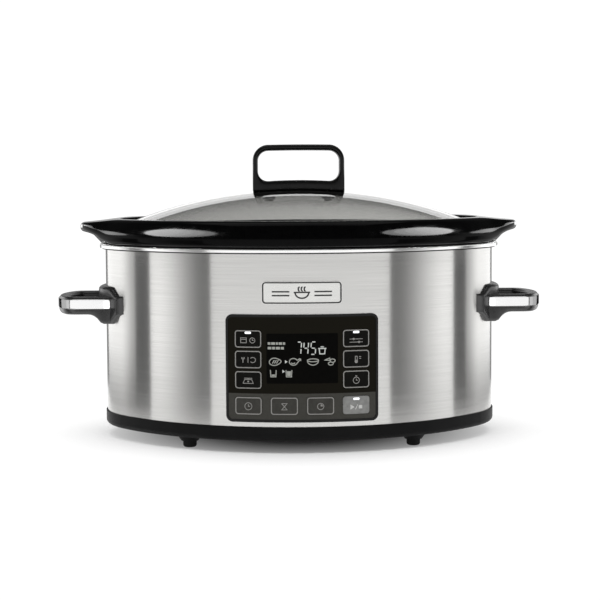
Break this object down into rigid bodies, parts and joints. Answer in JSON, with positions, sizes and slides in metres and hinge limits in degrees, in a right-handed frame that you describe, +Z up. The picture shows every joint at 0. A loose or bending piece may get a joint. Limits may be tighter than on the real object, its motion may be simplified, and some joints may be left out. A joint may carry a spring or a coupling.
{
  "type": "slow cooker",
  "caption": "Oval countertop slow cooker: brushed steel body with end handles and a front keypad with display, lift-out stoneware crock and domed glass lid with a loop handle.",
  "frame": {"origin": "middle of the footprint, on the counter under the feet", "axes": "+Z up; the control panel faces -Y; +X to the right of someone facing the panel, along the long axis of the oval"},
  "size_m": [0.4608, 0.291, 0.2753],
  "materials": {
    "brushed_steel": "fine horizontal brushing",
    "polished_steel": "polished",
    "plated_steel": "zinc plated",
    "well_steel": "matt pressed sheet with a polished rolled edge",
    "black_glaze": "gloss black glaze",
    "tempered_glass": "clear",
    "gloss_black": "gloss",
    "satin_black": "satin, lightly grained",
    "rubber": "matt",
    "panel_black": "gloss printed sheet",
    "key_black": "gloss",
    "window_black": "gloss, smoked",
    "lamp_white": "milky lens",
    "circuit_green": "solder mask",
    "component_black": "matt",
    "component_blue": "matt",
    "copper_yellow": "wound coil and laminations",
    "glass_lead": "braided sleeve",
    "cable_grey": "smooth",
    "brass": "plain",
    "badge_metal": "polished"
  },
  "bodies": {
    "base": {"base_tray": "satin_black", "foot_rear_right": "rubber", "foot_rear_left": "rubber", "foot_front_right": "rubber", "foot_front_left": "rubber", "well_brackets": "plated_steel", "base_screws": "plated_steel", "outer_wrap": "brushed_steel", "heating_well": "well_steel", "heater_band": "plated_steel", "heater_terminals": "brass", "heat_shield": "plated_steel", "temperature_sensor": "plated_steel", "thermal_fuse": "plated_steel", "sensor_clips": "plated_steel", "right_handle_strip": "polished_steel", "right_handle": "gloss_black", "right_handle_screws": "plated_steel", "right_handle_backplate": "plated_steel", "left_handle_strip": "polished_steel", "left_handle": "gloss_black", "left_handle_screws": "plated_steel", "left_handle_backplate": "plated_steel", "panel_bezel": "gloss_black", "panel_overlay": "panel_black", "display_window": "window_black", "panel_frame": "satin_black", "control_board": "circuit_green", "control_board_screws": "plated_steel", "key_switches": "component_black", "display_module": "component_black", "processor_chip": "component_black", "board_connector": "glass_lead", "badge": "badge_metal", "power_board": "circuit_green", "power_relay": "component_blue", "transformer": "copper_yellow", "film_capacitor": "copper_yellow", "terminal_block": "component_black", "heater_leads": "glass_lead", "board_cable": "cable_grey", "cord_gland": "satin_black"},
    "crock": {"crock": "black_glaze"},
    "lid": {"glass_lid": "tempered_glass", "lid_handle": "gloss_black", "lid_screws": "plated_steel", "lid_washers": "component_black"},
    "schedule_key_body": {"schedule_key": "key_black", "schedule_lamp": "lamp_white"},
    "food_key_body": {"food_key": "key_black"},
    "weight_key_body": {"weight_key": "key_black"},
    "clock_key_body": {"clock_key": "key_black"},
    "hour_key_body": {"hour_key": "key_black"},
    "minute_key_body": {"minute_key": "key_black"},
    "start_key_body": {"start_key": "key_black", "start_lamp": "lamp_white"},
    "manual_key_body": {"manual_key": "key_black", "manual_lamp": "lamp_white"},
    "temperature_key_body": {"temperature_key": "key_black"},
    "timer_key_body": {"timer_key": "key_black"}
  },
  "joints": [
    {"name": "crock_lift", "type": "slide", "parent": "base", "child": "crock", "axis": [0, 0, 1], "range_m": [0, 0.2]},
    {"name": "lid_lift", "type": "slide", "parent": "crock", "child": "lid", "axis": [0, 0, 1], "range_m": [0, 0.15]},
    {"name": "schedule_press", "type": "slide", "parent": "base", "child": "schedule_key_body", "axis": [0.2271, 0.9739, 0], "range_m": [0, 0.0005], "stiffness_N_per_m": 3000, "springref_m": -0.0003},
    {"name": "food_press", "type": "slide", "parent": "base", "child": "food_key_body", "axis": [0.2271, 0.9739, 0], "range_m": [0, 0.0005], "stiffness_N_per_m": 3000, "springref_m": -0.0003},
    {"name": "weight_press", "type": "slide", "parent": "base", "child": "weight_key_body", "axis": [0.2271, 0.9739, 0], "range_m": [0, 0.0005], "stiffness_N_per_m": 3000, "springref_m": -0.0003},
    {"name": "clock_press", "type": "slide", "parent": "base", "child": "clock_key_body", "axis": [0.2271, 0.9739, 0], "range_m": [0, 0.0005], "stiffness_N_per_m": 3000, "springref_m": -0.0003},
    {"name": "hour_press", "type": "slide", "parent": "base", "child": "hour_key_body", "axis": [0.0761, 0.9971, 0], "range_m": [0, 0.0005], "stiffness_N_per_m": 3000, "springref_m": -0.0003},
    {"name": "minute_press", "type": "slide", "parent": "base", "child": "minute_key_body", "axis": [-0.0761, 0.9971, 0], "range_m": [0, 0.0005], "stiffness_N_per_m": 3000, "springref_m": -0.0003},
    {"name": "start_press", "type": "slide", "parent": "base", "child": "start_key_body", "axis": [-0.2271, 0.9739, 0], "range_m": [0, 0.0005], "stiffness_N_per_m": 3000, "springref_m": -0.0003},
    {"name": "manual_press", "type": "slide", "parent": "base", "child": "manual_key_body", "axis": [-0.2271, 0.9739, 0], "range_m": [0, 0.0005], "stiffness_N_per_m": 3000, "springref_m": -0.0003},
    {"name": "temperature_press", "type": "slide", "parent": "base", "child": "temperature_key_body", "axis": [-0.2271, 0.9739, 0], "range_m": [0, 0.0005], "stiffness_N_per_m": 3000, "springref_m": -0.0003},
    {"name": "timer_press", "type": "slide", "parent": "base", "child": "timer_key_body", "axis": [-0.2271, 0.9739, 0], "range_m": [0, 0.0005], "stiffness_N_per_m": 3000, "springref_m": -0.0003}
  ]
}
